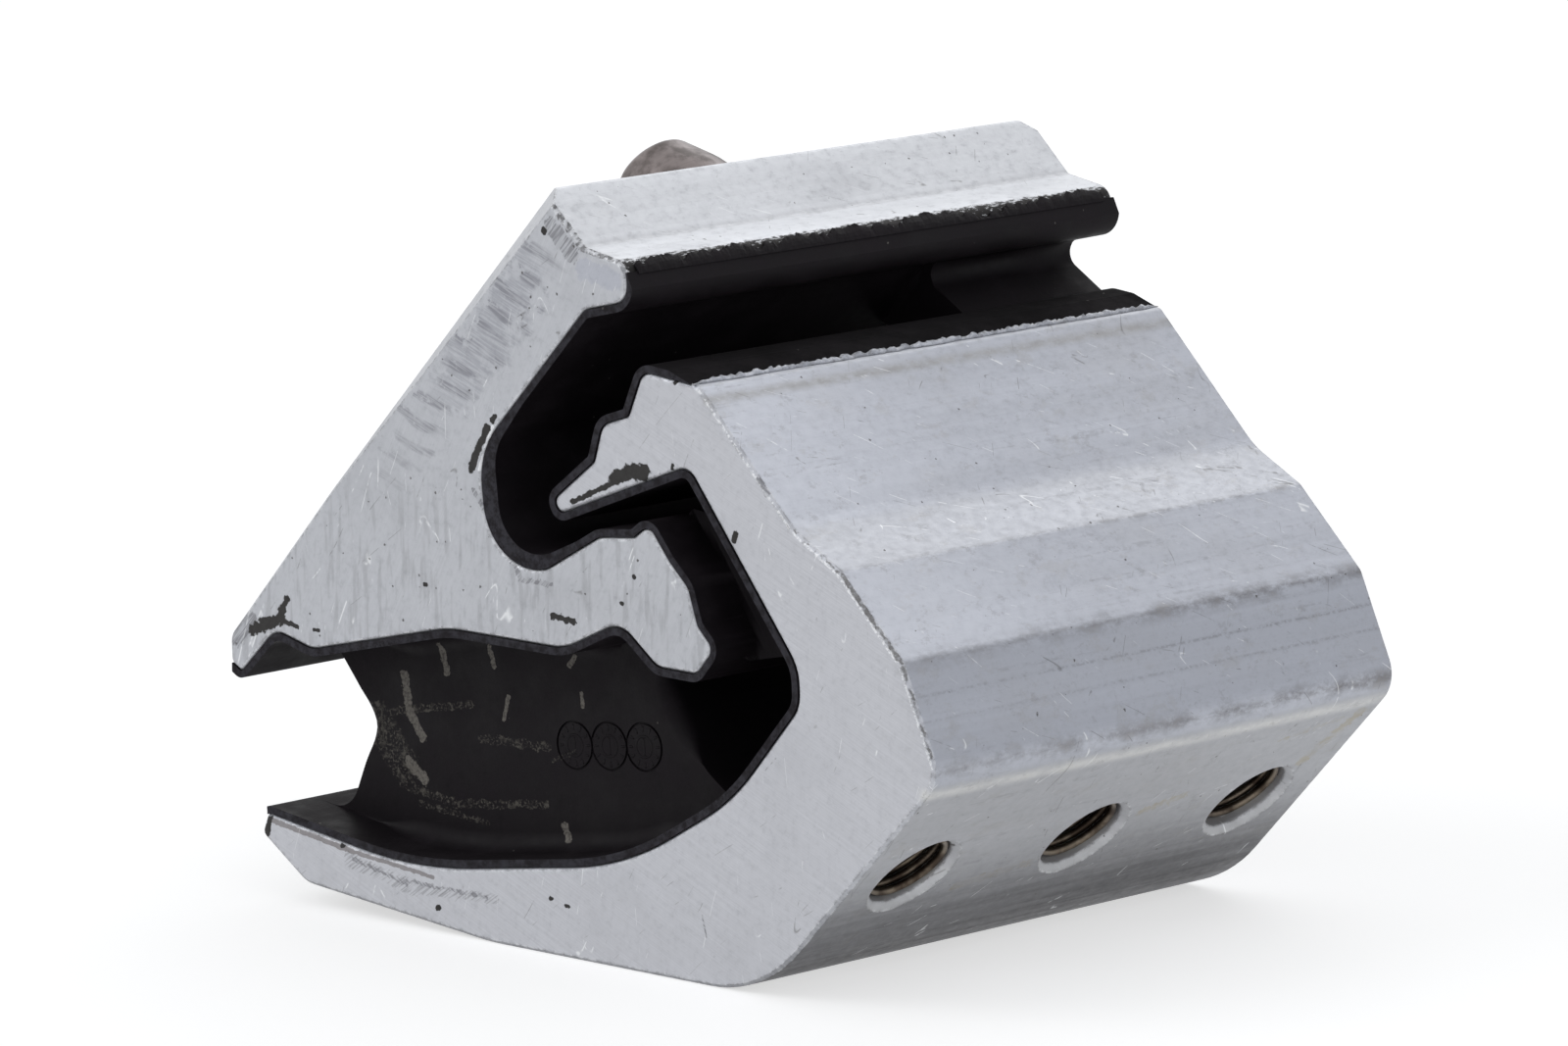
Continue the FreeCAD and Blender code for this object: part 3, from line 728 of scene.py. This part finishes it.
def pick_sharp_edges(piece, wanted, length=0.0):
    """Selects the sharp edges of some length whose two ends pass the test, in mm."""
    show_alone(piece)
    mesh = piece.data
    chosen = [wanted(vertex.co / MM) for vertex in mesh.vertices]
    sides = {}
    for face in mesh.polygons:
        face.select = False
        for key in face.edge_keys:
            sides.setdefault(key, []).append(face.normal)
    for edge in mesh.edges:
        normals = sides[tuple(sorted(edge.vertices))]
        sharp = len(normals) == 2 and normals[0].dot(normals[1]) < SHARP
        start, end = (mesh.vertices[index].co for index in edge.vertices)
        edge.select = (sharp and (end - start).length >= length * MM
                       and all(chosen[index] for index in edge.vertices))
    held = {index for edge in mesh.edges if edge.select for index in edge.vertices}
    for vertex in mesh.vertices:
        vertex.select = vertex.index in held


def edit_picked(operator, **settings):
    """Runs one mesh operator on what is selected."""
    bpy.ops.object.mode_set(mode="EDIT")
    operator(**settings)
    bpy.ops.object.mode_set(mode="OBJECT")


def apart(place, spot):
    """Distance in the section between a place and a spot (x, z, reach)."""
    return math.hypot(place.x - spot[0], place.z - spot[1])


def join_corners(piece, wall, spot):
    """Joins the corners of a wall that lie round one spot (x, z, reach)."""
    pick_sharp_edges(piece, lambda place: False)
    for vertex in piece.data.vertices:
        place = vertex.co / MM
        vertex.select = abs(place.y - wall) < ON_WALL and apart(place, spot) < spot[2]
    edit_picked(bpy.ops.mesh.merge, type="CENTER")


def round_wall(piece, wall, radius, feather_edges, rings=()):
    """Rounds the outline of one wall, dying out towards feather edges (x, z, reach)."""
    def on_outline(place):
        return (abs(place.y - wall) < ON_WALL
                and all(apart(place, ring) > ring[2] for ring in rings))

    for cuts, length in ((7, 8.0), (1, 2.5)):
        pick_sharp_edges(piece, on_outline, length)
        edit_picked(bpy.ops.mesh.subdivide, number_cuts=cuts, ngon=True)
    places = [vertex.co / MM for vertex in piece.data.vertices]
    outline = [place for place in places if on_outline(place)]
    pick_sharp_edges(piece, lambda place: on_outline(place) and all(
        apart(place, feather) > feather[2] for feather in feather_edges))
    edit_picked(bpy.ops.mesh.bevel, offset=radius * MM, offset_type="OFFSET", segments=4,
                affect="EDGES", clamp_overlap=False)
    for vertex in piece.data.vertices:
        place = vertex.co / MM
        if abs(place.y - wall) > radius + ON_WALL:
            continue
        near = [feather for feather in feather_edges
                if apart(place, feather) < 2.4 * feather[2] + radius]
        if near:
            start = min(outline, key=lambda corner: (corner - place).length)
            share = min(apart(start, feather) / feather[2] - 1.0 for feather in near)
            if (start - place).length < 1.6 * radius:
                share = max(0.0, min(1.0, share))
                vertex.co = start.lerp(place, share * share * (3 - 2 * share)) * MM
    open_piece(piece)
    bpy.ops.mesh.remove_doubles(threshold=SLIVER)
    close_piece(piece)


BLOCK_FEATHER_EDGES = [(-69.4, 15.1, 12.0), (-67.9, 42.3, 11.0), (24.3, 27.5, 8.5),
                       (3.2, 51.3, 4.5)]
CLOCK_RINGS = [(CLOCK_MIDDLE[0] + step * CLOCK_PITCH, CLOCK_MIDDLE[1] + step, 5.0)
               for step in (-1, 0, 1)]
BRIDGE_FOOT = (-27.5, 15.5, 0.9)
STOP_FEATHER_EDGES = [(4.9, 103.4, 3.0), (-6.6, 92.7, 2.0), (2.3, 85.9, 2.0),
                      (11.0, 95.5, 3.0)]


def rubber_piece():
    """The moulded rubber, with the edges of its end walls rounded as in the mould."""
    piece = merged_copy("rubber_spring", "moulded_spring")
    round_wall(piece, -BLOCK_WALL, BLOCK_ROUND, BLOCK_FEATHER_EDGES, CLOCK_RINGS)
    join_corners(piece, -BLOCK_WALL, BRIDGE_FOOT)
    round_wall(piece, BLOCK_WALL, BLOCK_ROUND, BLOCK_FEATHER_EDGES)
    round_wall(piece, STOP_WALL, STOP_ROUND, STOP_FEATHER_EDGES)
    smooth(piece, 32)
    piece.modifiers.new("even", "WEIGHTED_NORMAL").keep_sharp = True
    bpy.ops.object.modifier_apply(modifier="even")
    paint(piece, rubber())
    return piece


spring = rubber_piece()
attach(spring, BODY)
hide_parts("rubber_spring")


# ------------------------------------------------------------ steel

def steel(name, tone, dark, slope, rough):
    """Turned or drawn steel with fine rings round its own axis."""
    material, tree, skin = shader(name)
    place, normal = millimetres(tree)
    rings = grain(tree, place, (60, 60, 0.25), slope, detail=2.0)
    rust = grain(tree, place, (4, 4, 4), detail=4.0, rough=0.6)
    soft, edge = worn_edges(tree, 0.5)
    colour = lay(tree, fade(tree, rust, 0.4, 0.65), tone, dark)
    colour = lay(tree, fade(tree, rings, 0.4, 0.7, 0, 0.2), colour, dark)
    polished = tuple(min(1, 1.8 * part) for part in tone[:3]) + (1,)
    colour = lay(tree, times(tree, edge, fade(tree, rust, 0.55, 0.4, 0, 0.5)), colour,
                 polished)
    tree.links.new(colour, skin.inputs["Base Color"])
    skin.inputs["Metallic"].default_value = 0.9
    tree.links.new(fade(tree, rust, 0.3, 0.7, rough, rough + 0.14),
                   skin.inputs["Roughness"])
    tree.links.new(relief(tree, soft, (rings, 0.008), (rust, 0.02)),
                   skin.inputs["Normal"])
    return material


def turned_to(outward):
    """The turn that points +Z along a direction."""
    return outward.to_track_quat("Z", "Y").to_matrix().to_4x4()


def turned_pin():
    """The locating pin: pressed shank, rounded shoulder, conical lead-in, blunt tip."""
    rings = ((-PIN_DEPTH, PIN_SHANK), (0, PIN_SHANK), (0, PIN_RADIUS),
             (PIN_SHOULDER, PIN_RADIUS), (PIN_PROUD, PIN_TIP))
    pin = None
    bpy.ops.object.select_all(action="DESELECT")
    for (low, bottom), (high, top) in zip(rings, rings[1:]):
        bpy.ops.mesh.primitive_cone_add(
            vertices=96, radius1=bottom * MM, radius2=top * MM, depth=(high - low) * MM,
            end_fill_type="NOTHING", location=(0, 0, (low + high) / 2 * MM))
        if pin is None:
            pin = bpy.context.object
            pin.name = "turned_pin"
            bpy.ops.object.transform_apply(location=True, rotation=True, scale=True)
            open_piece(pin)
    bpy.ops.mesh.select_all(action="SELECT")
    bpy.ops.mesh.remove_doubles(threshold=SEAM)
    bpy.ops.mesh.fill_holes(sides=0)
    bpy.ops.mesh.normals_make_consistent(inside=False)
    close_piece(pin)
    for rim, reach in ((PIN_PROUD, PIN_TIP_ROUND), (PIN_SHOULDER, PIN_SHOULDER_ROUND)):
        pick_sharp_edges(pin, lambda place: abs(place.z - rim) < ON_WALL)
        edit_picked(bpy.ops.mesh.bevel, offset=reach * MM, offset_type="OFFSET",
                    segments=6, affect="EDGES")
    root = (APEX - PIN_PLACE * upward(BACK_SLOPE)) * MM
    pin.data.transform(Matrix.Translation(root) @ turned_to(upward(90 + BACK_SLOPE)))
    pin.data.update()
    smooth(pin, 30)
    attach(pin, BODY)
    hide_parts("locating_pin")
    return pin


paint(turned_pin(), steel(
    "pin_steel", (0.235, 0.204, 0.2, 1), (0.11, 0.094, 0.09, 1), BACK_SLOPE - 90, 0.3))


def wire_coil():
    """One thread insert: diamond wire wound at the thread's pitch, about +Z."""
    bpy.ops.object.select_all(action="DESELECT")
    middle = (WIRE_INSIDE + WIRE_OUTSIDE) / 2
    bpy.ops.mesh.primitive_circle_add(vertices=4, radius=WIRE_HALF * THREAD_PITCH * MM,
                                      location=(middle * MM, 0, 0),
                                      rotation=(math.radians(90), 0, 0), fill_type="NGON")
    coil = bpy.context.object
    bpy.ops.object.transform_apply(location=True, rotation=True, scale=True)
    open_piece(coil)
    bpy.ops.mesh.delete(type="ONLY_FACE")
    close_piece(coil)
    turns = coil.modifiers.new("turns", "SCREW")
    turns.screw_offset = THREAD_PITCH * MM
    turns.iterations = WIRE_TURNS
    turns.steps = turns.render_steps = 48
    turns.use_merge_vertices = True
    turns.merge_threshold = SAME_PLACE
    show_alone(coil)
    bpy.ops.object.modifier_apply(modifier="turns")
    open_piece(coil)
    bpy.ops.mesh.remove_doubles(threshold=SEAM)
    bpy.ops.mesh.select_all(action="DESELECT")
    bpy.ops.mesh.select_non_manifold()
    bpy.ops.mesh.fill_holes(sides=6)
    bpy.ops.mesh.select_all(action="SELECT")
    bpy.ops.mesh.normals_make_consistent(inside=False)
    close_piece(coil)
    return coil


def place_coil(coil, node, outward, spin):
    """A copy of the coil with its own mesh, set in the middle of a CAD sleeve."""
    low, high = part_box(node)
    copy = bpy.data.objects.new(node.replace("insert", "coil"), coil.data.copy())
    bpy.context.collection.objects.link(copy)
    drop = Matrix.Translation((0, 0, -WIRE_TURNS / 2 * THREAD_PITCH * MM))
    copy.data.transform(Matrix.Translation((low + high) / 2) @ turned_to(outward)
                        @ Matrix.Rotation(math.radians(spin), 4, "Z") @ drop)
    copy.data.update()
    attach(copy, BODY)
    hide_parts(node)
    return copy


master = wire_coil()
for row, outward, slope, tone in (
        ("bracket", upward(BOLT_SLOPE - 90), BOLT_SLOPE, (0.20, 0.165, 0.125, 1)),
        ("engine", upward(90 + BACK_SLOPE), -BACK_SLOPE, (0.20, 0.17, 0.14, 1))):
    finish = steel(row + "_coil_steel", tone, (0.06, 0.042, 0.03, 1), slope, 0.3)
    for number in (1, 2, 3):
        paint(place_coil(master, f"{row}_insert_{number}", outward, 70 * number), finish)
bpy.data.objects.remove(master)


# ------------------------------------------------------------ flash and burrs

def rounded_corner(before, corner, after, radius):
    """Middle of the arc that rounds a corner of the section."""
    here = Vector(corner)
    to_last = (Vector(before) - here).normalized()
    to_next = (Vector(after) - here).normalized()
    half = to_last.angle(to_next) / 2
    return here + (to_last + to_next).normalized() * radius / math.sin(half)


def torn_strip(name, length, curve, thickness):
    """A thin torn lip along the extrusion; curve(y, share) is its place across it."""
    bpy.ops.object.select_all(action="DESELECT")
    bpy.ops.mesh.primitive_grid_add(x_subdivisions=240, y_subdivisions=4, size=1)
    strip = bpy.context.object
    strip.name = name
    for vertex in strip.data.vertices:
        y = vertex.co.x * length
        x, z = curve(y, vertex.co.y + 0.5)
        vertex.co = Vector((x, y, z)) * MM
    wall = strip.modifiers.new("thickness", "SOLIDIFY")
    wall.thickness = thickness * MM
    wall.offset = 0
    bpy.ops.object.modifier_apply(modifier="thickness")
    open_piece(strip)
    bpy.ops.mesh.remove_doubles(threshold=SAME_PLACE)
    bpy.ops.mesh.normals_make_consistent(inside=False)
    close_piece(strip)
    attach(strip, BODY)
    return strip


def ragged(y, size, seed):
    """Wandering value from 0 to 1 along the length, seeded so that it never changes."""
    return min(1.0, max(0.0, 0.5 + noise.fractal(Vector((y / size, seed, 0)), 0.6, 2.2, 5)))


nib_middle = rounded_corner(*NIB_CORNERS, NIB_ROUND)


def nib_flash(y, share):
    """Rubber flash that laps up round the nib from the skin."""
    span = 6 + 34 * ragged(y, 16.0, 3.7) + 16 * ragged(y, 1.6, 9.3)
    angle = math.radians(14 + span * share)
    reach = NIB_ROUND + 0.1 + 0.22 * (1 - share) + 0.1 * ragged(y, 2.5, 8.1 + share)
    return nib_middle.x + reach * math.cos(angle), nib_middle.y + reach * math.sin(angle)


def hook_burr(y, share):
    """Burr of drawn-out metal between the hook's rubber and its bare flank."""
    width = 0.2 + 0.45 * ragged(y, 5.0, 1.3)
    ends = min(1.0, (LOWER_CUT - abs(y)) / 4)
    lift = ends * (0.35 + 0.5 * ragged(y, 1.8, 6.0))
    return (HOOK_EDGE[0] - 1.1 + width * share,
            HOOK_EDGE[1] + 0.1 + lift * (1 - share ** 2))


flash = torn_strip("nib_flash", 2 * LOWER_CUT, nib_flash, 0.22)
paint(flash, spring.data.materials[0])
burr = torn_strip("hook_burr", 2 * LOWER_CUT, hook_burr, 0.15)
paint(burr, nodes["lower_profile"].data.materials[0])


# ------------------------------------------------------------ studio

DAYLIGHT = (0.965, 0.98, 1.0)
LENS, AZIMUTH, ELEVATION, DISTANCE = 231.75, 42.68, 9.82, 1.622
VIEWED = Vector((-0.00863, 0, 0.062))
WHITE = (1, 1, 1, 1)


def aim(thing, place, target):
    """Puts a lamp or camera at a place, looking at the target."""
    looking = Vector(target) - Vector(place)
    thing.location = place
    thing.rotation_euler = looking.to_track_quat("-Z", "Y").to_euler()


for name, place, width, height, level in (
        ("front_softbox", (-0.9, -1.2, 1.3), 1.2, 1.0, 1.7),
        ("back_softbox", (-0.5, 1.2, 1.2), 1.3, 0.9, 0.9),
        ("side_softbox", (1.5, -0.7, 0.8), 1.0, 0.8, 0.8)):
    light = bpy.data.lights.new(name, "AREA")
    light.shape = "RECTANGLE"
    light.size, light.size_y = width, height
    light.energy = level * math.pi * width * height     # the same brightness at any size
    light.color = DAYLIGHT
    lamp = bpy.data.objects.new(name, light)
    bpy.context.collection.objects.link(lamp)
    aim(lamp, place, (0, 0, 0.06))


def seen_directly(tree):
    """1 for what the camera, metal and glass see, 0 for light that falls on things."""
    ray = put(tree, "LightPath", {})
    return most(tree, ray.outputs["Is Camera Ray"], ray.outputs["Is Glossy Ray"],
                ray.outputs["Is Transmission Ray"])


world = bpy.data.worlds.new("studio")
bpy.context.scene.world = world
world.use_nodes = True
sky = world.node_tree
fill = sky.nodes["Background"]
fill.inputs["Color"].default_value = (0.96, 0.98, 1, 1)
fill.inputs["Strength"].default_value = 0.55
heading = put(sky, "TexCoord", {}).outputs["Generated"]
lean = measure(sky, "DOT_PRODUCT", heading, (-0.5, 0, 0.85))[1]
shade = lay(sky, fade(sky, lean, -0.15, 0.75), (0.62, 0.635, 0.67, 1), WHITE)
backdrop = put(sky, "Background", {"Color": shade, "Strength": 1.0})
mixed = put(sky, "MixShader",
            {0: seen_directly(sky), 1: fill.outputs[0], 2: backdrop.outputs[0]})
sky.links.new(mixed.outputs[0], sky.nodes["World Output"].inputs[0])

bpy.ops.object.select_all(action="DESELECT")
bpy.ops.mesh.primitive_plane_add(size=8, location=(0, 0, 0))
floor = bpy.context.object
floor.name = "studio_floor"
material, tree, skin = shader("floor_paper")
skin.inputs["Base Color"].default_value = (0.6, 0.6, 0.6, 1)
skin.inputs["Roughness"].default_value = 0.9
skin.inputs["Specular IOR Level"].default_value = 0.1
glow = put(tree, "Emission", {"Color": WHITE, "Strength": 0.6})
unlit = put(tree, "Emission", {"Color": (0, 0, 0, 1), "Strength": 0.0})
lift = put(tree, "MixShader",
           {0: seen_directly(tree), 1: unlit.outputs[0], 2: glow.outputs[0]})
both = put(tree, "AddShader", {0: skin.outputs[0], 1: lift.outputs[0]})
tree.links.new(both.outputs[0], tree.nodes["Material Output"].inputs[0])
paint(floor, material)

camera = bpy.data.objects.new("camera", bpy.data.cameras.new("camera"))
bpy.context.collection.objects.link(camera)
camera.data.lens = LENS
turn, rise = math.radians(AZIMUTH), math.radians(ELEVATION)
back = Vector((math.sin(turn) * math.cos(rise), -math.cos(turn) * math.cos(rise),
               math.sin(rise)))
aim(camera, VIEWED + back * DISTANCE, VIEWED)
bpy.context.scene.camera = camera
bpy.context.scene.view_settings.view_transform = "Standard"
